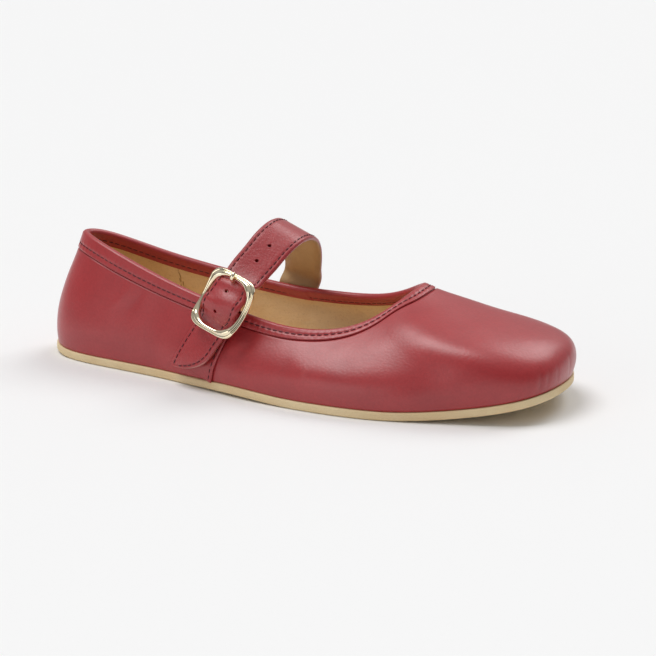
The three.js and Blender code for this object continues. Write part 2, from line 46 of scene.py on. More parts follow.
# the last, in millimetres
shoe = {
    "length": 254, "ballWidth": 94, "heelHeight": 57, "instepHeight": 47,
    "soleThickness": 3.8, "toeSpring": 10.5, "wall": 2, "clearance": 0.3,
    "archLift": 1, "heelLift": 1.2, "soleOverhang": 0.8,
    "toeFrom": 0.71, "archFrom": 0.3, "archSpan": 0.28, "heelTo": 0.08,  # shares of the length
}
gap = shoe["clearance"]
slopeStep = 0.02  # how far apart two places are taken for a slope
metre = 0.001

# footAlong, footSide, topAlong, topSide, heel, instep, bulge, rise, roof, drop
lastTable = np.array([
    [0.003, -0.01, 0.049, 0, 1, 0, 0.038, 0.42, 0.039, 0.28],  # heel back
    [0.042, -0.205, 0.087, -0.11, 0.985, 0, 0.035, 0.4, 0.035, 0.28],
    [0.154, -0.285, 0.188, -0.195, 0.86, 0, 0.027, 0.34, 0.03, 0.27],
    [0.299, -0.35, 0.315, -0.27, 0.36, 0.435, 0.022, 0.3, 0.025, 0.25],
    [0.448, -0.465, 0.432, -0.328, 0, 0.763, 0.023, 0.3, 0.032, 0.25],  # outer waist
    [0.594, -0.517, 0.534, -0.34, 0, 0.69, 0.032, 0.32, 0.073, 0.23],
    [0.724, -0.498, 0.624, -0.275, 0, 0.715, 0.037, 0.36, 0.147, 0.21],
    [0.853, -0.397, 0.677, -0.165, 0, 0.845, 0.043, 0.41, 0.277, 0.22],
    [0.962, -0.265, 0.7, -0.065, 0, 0.955, 0.05, 0.455, 0.43, 0.26],
    [0.99, 0, 0.708, 0.027, 0, 1.005, 0.068, 0.5, 0.523, 0.33],  # toe tip
    [0.972, 0.215, 0.705, 0.115, 0, 1.005, 0.095, 0.51, 0.49, 0.39],
    [0.927, 0.385, 0.672, 0.207, 0, 0.91, 0.085, 0.475, 0.345, 0.385],
    [0.83, 0.478, 0.605, 0.29, 0, 0.76, 0.052, 0.42, 0.187, 0.295],
    [0.696, 0.468, 0.508, 0.335, 0, 0.702, 0.034, 0.35, 0.09, 0.255],
    [0.522, 0.35, 0.402, 0.32, 0, 0.727, 0.027, 0.32, 0.033, 0.26],
    [0.36, 0.292, 0.294, 0.278, 0.34, 0.415, 0.023, 0.32, 0.022, 0.25],
    [0.19, 0.305, 0.177, 0.22, 0.8, 0, 0.026, 0.34, 0.026, 0.27],
    [0.053, 0.215, 0.08, 0.112, 0.955, 0, 0.034, 0.4, 0.03, 0.28],
])
stations = len(lastTable)
ones = np.eye(stations)
lastHull = np.linalg.solve((np.roll(ones, 1, 0) + 4 * ones + np.roll(ones, -1, 0)) / 6, lastTable)


def tableAt(column, u):  # a closed cubic spline through the stations
    turn = np.mod(u, stations)
    i = np.floor(turn).astype(int)
    f = turn - i
    hull = lastHull[:, column]
    near, far = (3 * f ** 3 - 6 * f ** 2 + 4) / 6, (-3 * f ** 3 + 3 * f ** 2 + 3 * f + 1) / 6
    return ((1 - f) ** 3 / 6 * hull[(i - 1) % stations] + near * hull[i % stations]
            + far * hull[(i + 1) % stations] + f ** 3 / 6 * hull[(i + 2) % stations])


def soleBottom(x):
    share = x / shoe["length"] + 0.5
    toe = np.clip((share - shoe["toeFrom"]) / (1 - shoe["toeFrom"]), 0, 1)
    arch = np.clip((share - shoe["archFrom"]) / shoe["archSpan"], 0, 1)
    heel = np.clip((shoe["heelTo"] - share) / shoe["heelTo"], 0, 1)
    return (shoe["toeSpring"] * toe ** 2 + shoe["archLift"] * np.sin(np.pi * arch) ** 2
            + shoe["heelLift"] * heel ** 2)


def roundStations(count):
    return np.linspace(0, stations, count + 1)[:-1]


def footPoint(u):
    return (tableAt(0, u) - 0.5) * shoe["length"], tableAt(1, u) * shoe["ballWidth"]


def unit(vectors):
    return vectors / np.maximum(np.linalg.norm(vectors, axis=-1, keepdims=True), 1e-9)


def footNormal(u):
    (x1, y1), (x0, y0) = footPoint(u + slopeStep / 2), footPoint(u - slopeStep / 2)
    along = unit(np.stack([x1 - x0, y1 - y0], -1))
    return along[..., 1], -along[..., 0]


def footRing(u, inset, height):  # the outline drawn in, at a height over the sole's underside
    (footX, footY), (outX, outY) = footPoint(u), footNormal(u)
    x, y = footX - outX * inset, footY - outY * inset
    return np.stack([x, y, soleBottom(x) + height], -1)


def lastPoint(u, v):  # the upper's outer face: v is 0 at the sole and 1 at the topline
    u, v = np.broadcast_arrays(u, v)
    footX, footY = footPoint(u)
    outX, outY = footNormal(u)
    footZ = soleBottom(footX) + shoe["soleThickness"] + gap
    topX, topY = (tableAt(2, u) - 0.5) * shoe["length"], tableAt(3, u) * shoe["ballWidth"]
    topZ = tableAt(4, u) * shoe["heelHeight"] + tableAt(5, u) * shoe["instepHeight"]
    bulge, rise = tableAt(6, u) * shoe["ballWidth"], tableAt(7, u) * shoe["instepHeight"]
    roof, drop = tableAt(8, u) * shoe["ballWidth"], tableAt(9, u) * shoe["instepHeight"]
    corners = (
        np.stack([footX, footY, footZ], -1),
        np.stack([footX + outX * bulge, footY + outY * bulge, footZ + rise], -1),
        np.stack([topX + outX * roof, topY + outY * roof, topZ - drop], -1),
        np.stack([topX, topY, topZ], -1),
    )
    shares = ((1 - v) ** 3, 3 * v * (1 - v) ** 2, 3 * v ** 2 * (1 - v), v ** 3)
    return sum(c * s[..., None] for c, s in zip(corners, shares))


def lastNormal(u, v):
    u, v = np.broadcast_arrays(u, v)
    low, high = np.maximum(0, v - slopeStep), np.minimum(1, v + slopeStep)
    around = lastPoint(u + slopeStep, v) - lastPoint(u - slopeStep, v)
    return unit(np.cross(around, lastPoint(u, high) - lastPoint(u, low)))


def shellPoint(u, v, depth):
    return lastPoint(u, v) - lastNormal(u, v) * np.asarray(depth)[..., None]


def walk(points):  # the distance walked along each line of places
    steps = np.linalg.norm(np.diff(points, axis=-2), axis=-1)
    return np.concatenate([np.zeros(steps.shape[:-1] + (1,)), np.cumsum(steps, -1)], -1)


def rowBelowTop(u, distance):  # v at a distance below the topline, measured on the surface
    u, distance = np.broadcast_arrays(u, distance)
    rows = np.linspace(1, 0, 201)
    walked = walk(lastPoint(u.reshape(-1)[:, None], rows[None, :]))
    found = [np.interp(d, w, rows) for d, w in zip(distance.reshape(-1), walked)]
    return np.array(found).reshape(u.shape)


def smoothstep(value, low, high):
    share = np.clip((value - low) / (high - low), 0, 1)
    return share * share * (3 - 2 * share)


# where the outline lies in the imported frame
soleRing = footRing(roundStations(1440), -shoe["soleOverhang"], 0)
soleLow, soleHigh = [np.array(corner) * 1000 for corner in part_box("outsole")]
origin = (soleLow + soleHigh - soleRing.min(0) - soleRing.max(0)) / 2
origin[2] = 0
print("last placed at", origin.round(2))


# mesh helpers
def addItem(name, data):
    item = bpy.data.objects.new(name, data)
    bpy.context.scene.collection.objects.link(item)
    return item


def makePiece(name, grid, lookNames, closedRows=True, closedColumns=True, second=(0, 0), **attributes):
    rows, columns = grid.shape[:2]  # a loft over the grid, capped where its rows are open
    i, k = np.meshgrid(np.arange(rows if closedRows else rows - 1),
                       np.arange(columns if closedColumns else columns - 1), indexing="ij")
    nextI, nextK = (i + 1) % rows, (k + 1) % columns
    quads = np.stack([i * columns + k, nextI * columns + k, nextI * columns + nextK, i * columns + nextK], -1)
    quads = quads.reshape(-1, 4)
    points = grid.reshape(-1, 3)
    a, b, c, d = (points[quads[:, corner]] - points.mean(0) for corner in range(4))
    volume = np.sum(a * np.cross(b, c)) + np.sum(a * np.cross(c, d))
    faces = quads.tolist()
    if not closedRows:
        faces += [list(range(columns))[::-1], list(range((rows - 1) * columns, rows * columns))]
    if volume < 0:
        faces = [face[::-1] for face in faces]
    mesh = bpy.data.meshes.new(name)
    mesh.from_pydata(((points + origin) * metre).tolist(), [], faces)
    for look in lookNames:
        mesh.materials.append(looks[look])
    slots = np.zeros(len(faces), np.int32)
    slots[:k.size] = ((k >= second[0]) & (k < second[1])).reshape(-1)
    mesh.polygons.foreach_set("material_index", slots)
    mesh.shade_smooth()
    for layer, values in attributes.items():
        mesh.attributes.new(layer, "FLOAT", "POINT").data.foreach_set("value", values.reshape(-1))
    mesh.update()
    return addItem(name, mesh)


def settle(piece, slot, *nodes):  # every piece rides on the one body
    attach(piece, "root")
    if nodes:
        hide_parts(*nodes)


# nodes
def addNode(tree, kind, settings=(), values=()):  # each value sets its socket, or is a socket and is linked
    node = tree.nodes.new(kind)
    for name, value in dict(settings).items():
        setattr(node, name, value)
    for name, value in dict(values).items():
        socket = node.inputs[name]
        if isinstance(value, bpy.types.NodeSocket):
            tree.links.new(value, socket)
        else:
            socket.default_value = (*value, 1) if socket.type == "RGBA" else value
    return node


class Field:
    def __init__(self, paint, socket):
        self.paint, self.socket = paint, socket

    def maths(self, operation, *values):
        return self.paint.add("Math", {"operation": operation}, dict(enumerate(values)))

    def __add__(self, other):
        return self.maths("ADD", self, other)

    __radd__ = __add__

    def __sub__(self, other):
        return self.maths("SUBTRACT", self, other)

    def __rsub__(self, other):
        return self.maths("SUBTRACT", other, self)

    def __mul__(self, other):
        return self.maths("MULTIPLY", self, other)

    def clamp(self):
        return self.maths("MAXIMUM", self.maths("MINIMUM", self, 1), 0)

    def step(self, low, high):  # 0 below low, 1 above high, smooth between
        return self.paint.add("MapRange", {"interpolation_type": "SMOOTHSTEP"},
                              {"Value": self, "From Min": low, "From Max": high})


class Paint:
    def __init__(self, name):
        self.material = bpy.data.materials.new(name)
        self.material.use_nodes = True
        self.tree = self.material.node_tree
        self.tree.nodes.clear()
        self.place = self.add("TexCoord", {}, {}, "Object")

    def add(self, kind, settings, values, output=0):  # kind without its first part, ShaderNode
        plain = {name: value.socket if isinstance(value, Field) else value for name, value in values.items()}
        return Field(self, addNode(self.tree, "ShaderNode" + kind, settings, plain).outputs[output])

    def noise(self, size, detail=2.0, rough=0.5, place=None, stretch=None, distortion=0.0):
        where = place or self.place
        if stretch:
            where = self.add("Mapping", {}, {"Vector": where, "Scale": stretch})
        return self.add("TexNoise", {}, {"Vector": where, "Scale": 1000 / size, "Detail": detail,
                                         "Roughness": rough, "Distortion": distortion})

    def cells(self, size, smooth):
        return self.add("TexVoronoi", {"feature": "SMOOTH_F1"},
                        {"Vector": self.place, "Scale": 1000 / size, "Smoothness": smooth})

    def attribute(self, name):
        return self.add("Attribute", {"attribute_name": name}, {}, "Fac")

    def mix(self, factor, first, second):
        return self.add("Mix", {"data_type": "RGBA"}, {0: factor, 6: first, 7: second}, 2)

    def finish(self, colour, roughness, height=None, depth=0.0, strength=1.0, **fixed):
        values = {name.replace("_", " "): value for name, value in fixed.items()}
        values.update({"Base Color": colour, "Roughness": roughness})
        if height:
            bump = {"Height": height, "Distance": depth, "Strength": strength}
            values["Normal"] = self.add("Bump", {}, bump)
        shader = self.add("BsdfPrincipled", {}, values)
        addNode(self.tree, "ShaderNodeOutputMaterial", {}, {"Surface": shader.socket})
        return self.material


# red leather, tan lining, rubber and metal
colours = {
    "red": (0.43, 0.027, 0.031), "redDeep": (0.28, 0.014, 0.018), "redWorn": (0.62, 0.28, 0.24),
    "lining": ((0.80, 0.58, 0.32), (0.90, 0.71, 0.44)), "insole": ((0.86, 0.60, 0.31), (0.94, 0.71, 0.42)),
    # the strap's lining is a darker copy of the lining's tan: painted shade for the strap's underside, which
    # lies in shadow
    "strapLiningShaded": ((0.42, 0.26, 0.12), (0.52, 0.34, 0.16)), "tanDeep": (0.34, 0.19, 0.08),
    "rubber": ((0.76, 0.57, 0.32), (0.83, 0.66, 0.40)), "rubberDeep": (0.56, 0.38, 0.19),
    "gold": ((0.90, 0.78, 0.54), (0.97, 0.87, 0.66)), "floor": ((0.87, 0.87, 0.87), (0.88, 0.88, 0.88)),
    "redThread": (0.10, 0.012, 0.020), "tanThread": (0.66, 0.45, 0.22),
}


def redLeather(name, grainDepth=0.00015, shine=0.31, wrinkles=0.0):
    paint = Paint(name)
    deep = colours["redDeep"]
    clouds, patches = paint.noise(34, 3), paint.noise(7, 4, 0.6)
    pores = paint.cells(1.125, 0.6)
    fine = paint.noise(0.55, 3, 0.6)
    fold = paint.attribute("fold")
    colour = paint.mix((clouds * 0.6 + patches * 0.4).step(0.3, 0.7) * 0.35, colours["red"], deep)
    colour = paint.mix(pores.step(0.30, 0.75) * 0.22, colour, deep)
    # painted shade: creases, seam troughs and stitch grooves are painted darker
    colour = paint.mix(fold.clamp() * 0.55, colour, deep)
    # wear: rubbed edges and raised places turn paler
    colour = paint.mix((0 - fold).step(0.3, 1.3) * 0.75, colour, colours["redWorn"])
    rough = shine + patches * 0.14 + fine * 0.06
    height = fine * 0.35 - pores * 0.5 + paint.noise(3.2, 3) * 0.5
    if wrinkles:  # fine wrinkles across the strap, from its own two distances
        along, side = paint.attribute("along") * 0.0016, paint.attribute("side") * 0.0006
        place = paint.add("CombineXYZ", {}, {"X": along, "Y": side})
        lines = paint.noise(1.5, 4, 0.65, place, distortion=0.6)
        height = height + lines * wrinkles
        # painted shade: the wrinkle lines are painted darker
        colour = paint.mix(lines.step(0.55, 0.75) * 0.3, colour, deep)
    return paint.finish(colour, rough, height, grainDepth, 0.8, Coat_Weight=0.5, Coat_Roughness=0.33)


def tanLining(name, tone, wrinkled=0.0):
    paint = Paint(name)
    clouds, fine = paint.noise(26, 4, 0.6), paint.noise(0.9, 3, 0.6)
    colour = paint.mix(clouds.step(0.3, 0.7), *colours[tone])
    colour = paint.mix(fine.step(0.5, 0.8) * 0.25, colour, colours["tanDeep"])
    height = fine + paint.noise(4, 3) * 0.8
    if wrinkled:  # soft wrinkles and the seam of two pieces
        height = height + paint.noise(9, 3, 0.6, stretch=(1, 1, 2.2), distortion=1.2) * wrinkled
        away = paint.attribute("seam")
        seam = 1 - away.maths("ABSOLUTE", away).step(0.12, 0.45)
        colour = paint.mix(seam * 0.22, colour, colours["tanDeep"])
        height = height - seam * 2
    return paint.finish(colour, 0.55 + fine * 0.15, height, 0.00016, 0.8)


def tanRubber(name):
    paint = Paint(name)
    clouds, fine = paint.noise(18, 3), paint.noise(0.5, 3, 0.7)
    colour = paint.mix(clouds.step(0.3, 0.7), *colours["rubber"])
    colour = paint.mix(fine.step(0.45, 0.8) * 0.3, colour, colours["rubberDeep"])
    normal = paint.add("NewGeometry", {}, {}, "Normal")
    under = 1 - paint.add("SeparateXYZ", {}, {0: normal}, 2).step(-0.97, -0.85)
    tread = paint.add("TexWave", {"wave_profile": "SIN"},
                      {"Vector": paint.place, "Scale": 92, "Distortion": 1.4, "Detail": 0.0})
    return paint.finish(colour, 0.6 + fine * 0.2, fine * 0.3 + tread * under * 2, 0.0003, 0.6)


def paleGold(name):
    paint = Paint(name)
    smudge, brushed = paint.noise(5, 3), paint.noise(0.9, 2, 0.6)
    colour = paint.mix(smudge.step(0.35, 0.7), *colours["gold"])
    return paint.finish(colour, 0.07 + smudge * 0.06, brushed, 0.00001, 0.2, Metallic=1.0)


def threadLook(name):
    paint = Paint(name)
    twist = paint.noise(0.25, 2)
    colour = paint.mix(twist, colours[name], tuple(part * 0.6 for part in colours[name]))
    return paint.finish(colour, 0.6, twist, 0.00005, 0.6)


looks = {
    "upper": redLeather("upperLeather"),
    "binding": redLeather("bindingLeather", 0.00015, 0.32),
    "strap": redLeather("strapLeather", 0.00024, 0.29, 1.4),
    "tab": redLeather("tabLeather", 0.0002, 0.35),
    "lining": tanLining("liningLeather", "lining", 4.0),
    # painted shade: the lining under the strap is made darker than the other lining
    "strapLiningShaded": tanLining("strapLiningShaded", "strapLiningShaded"),
    "insole": tanLining("insoleLeather", "insole"),
    "rubber": tanRubber("soleRubber"),
    "gold": paleGold("buckleGold"),
    "redThread": threadLook("redThread"),
    "tanThread": threadLook("tanThread"),
}
print("materials:", len(looks))

# upper: outer skin with soft creases, top edge, lining and lasting margin in one closed wall
upper = {
    "around": 560, "outerRows": 92, "innerRows": 34, "marginWidth": 10, "marginThickness": 1.4,
    "foldDepth": 0.45, "liningSeam": 15.88, "bindingThickness": 0.6, "bindingAtHeel": 8.4,
    "bindingAtThroat": 6, "seamBelow": 1.7, "seamAbove": 0.9, "seamTrough": 0.55,
    "waves": 7, "waveHeight": 0.028, "waveLengths": (13, 38),
}

# soft troughs and ridges, each along three places (station, row), with its depth and width in mm
creases = [
    [(7.96, 0.02), (8.02, 0.11), (8.08, 0.21), 0.22, 0.8],
    [(8.07, 0.02), (8.14, 0.10), (8.18, 0.18), -0.12, 0.8],
    [(8.18, 0.02), (8.24, 0.11), (8.3, 0.22), 0.24, 0.9],
    [(8.34, 0.02), (8.38, 0.09), (8.44, 0.17), 0.2, 0.8],
    [(8.6, 0.02), (8.62, 0.10), (8.66, 0.18), 0.16, 1.0],
    [(9.1, 0.02), (9.1, 0.11), (9.12, 0.2), 0.18, 1.1],
    [(9.6, 0.02), (9.58, 0.11), (9.58, 0.2), 0.16, 1.1],
    [(1.85, 0.45), (2.0, 0.6), (2.08, 0.78), -0.12, 2.4],
    [(2.15, 0.5), (2.25, 0.64), (2.3, 0.8), 0.14, 2.6],
    [(1.2, 0.12), (1.8, 0.16), (2.5, 0.14), 0.12, 3.2],
    [(4.7, 0.28), (4.82, 0.4), (4.86, 0.55), 0.16, 3.0],
    [(4.98, 0.24), (5.08, 0.38), (5.1, 0.5), -0.12, 2.8],
    [(5.6, 0.3), (5.75, 0.45), (5.8, 0.62), 0.12, 4.0],
    [(12.4, 0.3), (12.5, 0.45), (12.5, 0.6), 0.14, 3.2],
    [(15.4, 0.4), (15.6, 0.55), (15.7, 0.75), 0.12, 3.0],
]


def distanceTo(points, path):  # to a bent line of three places, and how far along it
    best = np.full(points.shape[:-1], 1e9)
    share = np.zeros(points.shape[:-1])
    parts = len(path) - 1
    for part in range(parts):
        start, line = path[part], path[part + 1] - path[part]
        t = np.clip(((points - start) @ line) / (line @ line), 0, 1)
        away = np.linalg.norm(points - (start + t[..., None] * line), axis=-1)
        near = away < best
        best = np.where(near, away, best)
        share = np.where(near, (part + t) / parts, share)
    return best, share


def creaseRelief(points):
    relief = np.zeros(points.shape[:-1])
    for *places, depth, width in creases:
        away, share = distanceTo(points, [lastPoint(u, v) for u, v in places])
        ends = np.sin(np.pi * np.clip(share, 0.02, 0.98)) ** 0.5
        relief -= depth * ends * np.exp(-(away / width) ** 2)
    random = np.random.default_rng(5)
    for _ in range(upper["waves"]):  # the leather is never quite even
        way = unit(random.normal(size=3)) * 2 * math.pi / random.uniform(*upper["waveLengths"])
        relief += upper["waveHeight"] * np.sin(points @ way + random.uniform(0, 6.28))
    return relief


def bindingDepth(u):
    heelward = smoothstep(0.45 - tableAt(2, u), 0, 0.35)
    return upper["bindingAtThroat"] + (upper["bindingAtHeel"] - upper["bindingAtThroat"]) * heelward


def makeUpper():
    u = roundStations(upper["around"])
    topGap = gap + upper["bindingThickness"]
    top = rowBelowTop(u, topGap)
    plain = rowBelowTop(u, bindingDepth(u) + upper["seamBelow"])
    seam = rowBelowTop(u, bindingDepth(u) - upper["seamAbove"])
    spans = ((plain * 0, plain, np.linspace(0, 1, upper["outerRows"] - 17)[:-1]),
             (plain, seam, np.linspace(0, 1, 15)[:-1]),  # closer rows at the binding's seam
             (seam, top, np.linspace(0, 1, 4)))
    v = np.concatenate([low[:, None] + (high - low)[:, None] * shares for low, high, shares in spans], 1)
    skin = lastPoint(u[:, None], v)
    relief = creaseRelief(skin)
    relief *= smoothstep(v / top[:, None], 0.0, 0.03) * smoothstep(1 - v / top[:, None], 0.0, 0.1)
    belowTop = walk(skin[:, ::-1])[:, ::-1] + topGap
    pastBinding = belowTop - bindingDepth(u)[:, None]
    relief -= upper["seamTrough"] * np.exp(-((pastBinding - 0.1) / 0.55) ** 2)
    relief -= 0.12 * smoothstep(-pastBinding, 0.3, 1.0)
    skin = skin + lastNormal(u[:, None], v) * relief[..., None]
    inner = np.linspace(1, 0.08, upper["innerRows"])
    lining = shellPoint(u[:, None], inner[None, :] * top[:, None], np.full((1, 1), shoe["wall"]))
    low, thick, wide = shoe["soleThickness"] + gap, upper["marginThickness"], upper["marginWidth"]
    margin = [footRing(u, inset, height)[:, None, :]
              for inset, height in ((shoe["wall"], low + thick), (wide, low + thick), (wide, low))]
    ring = np.concatenate([skin, lining, *margin], 1)
    # painted shade: creases, the seam's trough and the strip under the binding get a darker colour from their
    # depth; raised places get a little paler wear
    fold = np.zeros(ring.shape[:2])
    fold[:, :v.shape[1]] = -relief / upper["foldDepth"]
    spots = np.concatenate([skin, lining], 1)  # how far each place is from the lining's seam
    pace = np.linalg.norm(np.roll(spots, -1, 0) - np.roll(spots, 1, 0), axis=-1) / (2 * stations / len(u))
    away = np.full(ring.shape[:2], 99.0)
    away[:, :pace.shape[1]] = (u[:, None] - upper["liningSeam"]) * pace
    piece = makePiece("upperShell", ring, ["upper", "lining"],
                      second=(v.shape[1] - 1, ring.shape[1] - 1), fold=fold, seam=away)
    settle(piece, "red_leather", "upper")


makeUpper()
print("upper made")

# topline binding: a folded band with puckers at its stitches
binding = {
    "around": 1100, "inside": 7, "thickness": upper["bindingThickness"], "skive": 0.7, "puff": 0.26,
    "pucker": 0.09, "stitchUp": 2.5, "stitchPitch": 3.0, "groove": 0.34, "lap": 0.5, "lapAt": 13.62,
}


def softWaves(s, seed, longest):
    random = np.random.default_rng(seed)
    total = np.zeros_like(s)
    for k in range(1, 8):
        size, phase = random.uniform(0.4, 1), random.uniform(0, 6.28)
        total += size * np.sin(2 * np.pi * s * k / longest + phase) / k ** 0.6
    return total / 3


def makeBinding():
    u = roundStations(binding["around"])
    near, far = gap, gap + binding["thickness"]
    nearOut, farOut = near - binding["skive"], far - binding["skive"]
    edge = rowBelowTop(u, far)
    topline = lastPoint(u, edge)
    s = walk(topline)
    out = lastNormal(u, edge)
    up = unit(topline - lastPoint(u, edge - slopeStep))
    outside, inside = bindingDepth(u), np.full_like(u, binding["inside"])
    waves = softWaves(s, 3, 120)
    pull = np.cos(2 * np.pi * s / binding["stitchPitch"])
    pastLap = u - binding["lapAt"]
    lapped = binding["lap"] * smoothstep(pastLap, -0.02, 0) * (1 - smoothstep(pastLap, 0.1, 0.7))
    ring = []

    def onWall(distance, depth):
        return shellPoint(u, rowBelowTop(u, distance), depth)

    def over(depth, lift):
        return topline - out * depth + up * (lift * np.ones(len(u)))[:, None]

    def bulge(fromEdge, width):
        fromSeam = fromEdge - binding["stitchUp"]
        lift = binding["puff"] * np.sin(np.pi * np.clip(fromEdge / width, 0.08, 0.95)) ** 0.6
        stitch, ripple = np.exp(-(fromSeam / 0.55) ** 2), np.exp(-(fromSeam / 1.8) ** 2)
        return (lapped + lift * (1 + 0.35 * waves) - binding["groove"] * stitch
                - binding["pucker"] * pull * ripple * (1 + waves))

    ring.append(onWall(outside, -nearOut - 0.05))
    ring.append(onWall(outside + 0.05 * waves, -nearOut - binding["thickness"] * 0.6))
    for part in np.linspace(0.03, 0.985, 17):
        fromEdge = outside * part * (1 - far / outside)
        ring.append(onWall(outside - fromEdge, -farOut - bulge(fromEdge, outside)))
    middle, halfWide = (shoe["wall"] + far - farOut) / 2, (shoe["wall"] + far + farOut) / 2
    for angle in np.radians([12, 38, 65, 90, 115, 142, 168]):
        ring.append(over(middle - halfWide * np.cos(angle), (far + 0.1 + 0.06 * waves) * np.sin(angle)))
    for part in np.linspace(0.985, 0.04, 11):
        fromEdge = inside * part * (1 - far / inside)
        ring.append(onWall(inside - fromEdge, shoe["wall"] + far + 0.6 * bulge(fromEdge, inside)))
    ring.append(onWall(inside, shoe["wall"] + near + binding["thickness"] * 0.5))
    ring.append(onWall(inside, shoe["wall"] + near))
    ring.append(over(shoe["wall"] + near, near))
    ring.append(over(-nearOut, near))
    ring = np.stack(ring, 1)
    piece = makePiece("toplineBinding", ring, ["binding"], fold=np.zeros(ring.shape[:2]))
    settle(piece, "red_leather", "topline_binding")
    stitchOut = -farOut - binding["puff"] + binding["groove"] * 0.75
    return {"bindingStitches": onWall(outside - binding["stitchUp"], stitchOut),
            "bindingStitchesInside": onWall(inside - binding["stitchUp"], shoe["wall"] + far - 0.05)}


bindingRows = makeBinding()
print("binding made")

# sole and insole: rings taken from the same outline and drawn in to a line along the middle
sole = {"edgeRound": 1.3, "around": 420, "spineShare": 0.96}
insole = {"thickness": 2.4, "edgeRound": 0.7, "around": 360,
          "seat": shoe["soleThickness"] + gap + upper["marginThickness"] + gap}
spineX, spineY = [-95, -40, 20, 60, 90], [0, -6, -2.5, 1, 6]


def towardSpine(ring, shares, height, relief):
    rows = []
    middleX = np.clip(ring[:, 0], -92, 78)
    middleY = np.interp(middleX, spineX, spineY)
    for share in shares:
        x, y = ring[:, 0] * (1 - share) + middleX * share, ring[:, 1] * (1 - share) + middleY * share
        rows.append(np.stack([x, y, soleBottom(x) + height + relief(x, y)], -1))
    return rows


def flat(x, y):
    return 0 * x


def footbed(x, y):  # slightly hollow under the heel and the ball
    heel = np.exp(-(((x + 88) / 26) ** 2 + ((y - 1) / 20) ** 2))
    ball = np.exp(-(((x - 48) / 30) ** 2 + (y / 30) ** 2))
    return -0.35 * heel - 0.3 * ball


def makePlate(name, look, around, profile, under, above, relief=flat):  # under, above: height, share, rows
    rings = [footRing(roundStations(around), inset, height) for inset, height in profile]
    (low, lowShare, lowRows), (high, highShare, highRows) = under, above
    lower = towardSpine(rings[0], np.linspace(sole["spineShare"], lowShare, lowRows), low, flat)
    upside = towardSpine(rings[-1], np.linspace(highShare, sole["spineShare"], highRows), high, relief)
    piece = makePiece(name, np.stack(lower + rings + upside, 1), [look], True, False)
    work = bmesh.new()  # the strip left along the middle is filled
    work.from_mesh(piece.data)
    bmesh.ops.remove_doubles(work, verts=work.verts, dist=0.00004)
    bmesh.ops.dissolve_degenerate(work, edges=work.edges, dist=0.00002)
    holes = [edge for edge in work.edges if edge.is_boundary]
    if holes:
        filled = bmesh.ops.holes_fill(work, edges=holes, sides=0)["faces"]
        for face in bmesh.ops.triangulate(work, faces=filled)["faces"]:
            face.smooth = True
    work.to_mesh(piece.data)
    work.free()
    piece.data.update()
    return piece


def makeSole():
    over, r, t = -shoe["soleOverhang"], sole["edgeRound"], shoe["soleThickness"]
    profile = [(over + r - r * math.sin(a), r - r * math.cos(a)) for a in np.radians([0, 18, 36, 54, 72, 90])]
    profile += [(over, t * 0.5), (over + 0.05, t * 0.75), (over + 0.08, t - 0.25), (over + 0.3, t)]
    piece = makePlate("rubberSole", "rubber", sole["around"], profile, (0, 0.06, 14), (t, 0.08, 8))
    settle(piece, "tan_rubber", "outsole")


def makeInsole():
    inset, t, r, seat = shoe["wall"] + 2 * gap, insole["thickness"], insole["edgeRound"], insole["seat"]
    profile = [(inset + r, 0), (inset, r), (inset, t - r)]
    profile += [(inset + r - r * math.cos(a), t - r + r * math.sin(a)) for a in np.radians([30, 60, 90])]
    profile = [(inward, height + seat) for inward, height in profile]
    under, above = (seat, 0.1, 6), (seat + t, 0.04, 26)
    piece = makePlate("insoleBoard", "insole", insole["around"], profile, under, above, footbed)
    settle(piece, "tan_leather", "insole")


makeSole()
makeInsole()
print("sole and insole made")


# strap: the same path as its solid
strap = {
    "width": 18.6, "thickness": 2.2, "height": 65.6, "steps": 520, "holeDiameter": 1.6, "holeSpacing": 8.8,
    "edge": 0.75, "stitchIn": 2.1, "groove": 0.22, "puff": 0.16, "holes": [-2.5, -1.5, 0.75, 1.75],
    "usedAbove": 0.4, "squeeze": 0.06, "spread": 0.13, "crown": 2.0, "offTab": 1.3,
    "humpStart": (-0.46, -0.38), "humpEnd": (-0.44, -0.02),  # shares of the buckle's length
    "swells": ((-9, 3, 1.4), (8, 3.2, 1.6)),  # place, width and height of what fills the buckle's window
}
buckle = {
    "length": 28.5, "width": 26.9, "railWidth": 2.6, "railThickness": 2.2, "dip": 1.6, "bar": 1.4,
    "prong": 1.5, "squareness": 4.6, "windowSquareness": 2.7, "turn": 7, "prongSwell": 1.25,
}
tab = {"width": 16, "thickness": 0.9, "turnBack": 5.2, "seamIn": 1.6, "hangsAt": 0.296}
overBinding = 2 * gap + binding["thickness"]
overTab = overBinding + tab["thickness"] + 2.6 * gap

# where, along, height, side or lift, lean, turn
strapTable = [
    ("inner", 0.405, 0.213, gap, 12, 0), ("inner", 0.409, 0.305, gap + 0.5, 12, 0),
    ("inner", 0.414, 0.404, overBinding + gap, 13, 0), ("inner", 0.42, 0.49, overBinding + gap, 14, 0),
    ("free", 0.425, 0.57, 0.362, 14, -5), ("free", 0.432, 0.662, 0.325, 16, -4),
    ("free", 0.442, 0.776, 0.278, 17, -3), ("free", 0.451, 0.877, 0.219, 19, -2),
    ("free", 0.458, 0.953, 0.146, 22, 0), ("free", 0.462, 0.995, 0.058, 24, 0),
    ("free", 0.462, 1, -0.032, 26, 1), ("free", 0.455, 0.953, -0.113, 27, 2),
    ("free", 0.444, 0.869, -0.179, 26, 4), ("free", 0.43, 0.774, -0.244, 24, 7),
    ("free", 0.424, 0.684, -0.315, 18, 11), ("buckle", 0.414, 0.600, -0.377, 5, 12),
    ("outer", 0.398, 0.457, overTab + 2 * gap, 16, 0), ("outer", 0.379, 0.335, overTab + gap, 24, 0),
    ("outer", 0.357, 0.2, overTab, 28, 0), ("outer", 0.341, 0.09, overTab, 29, 0),
]


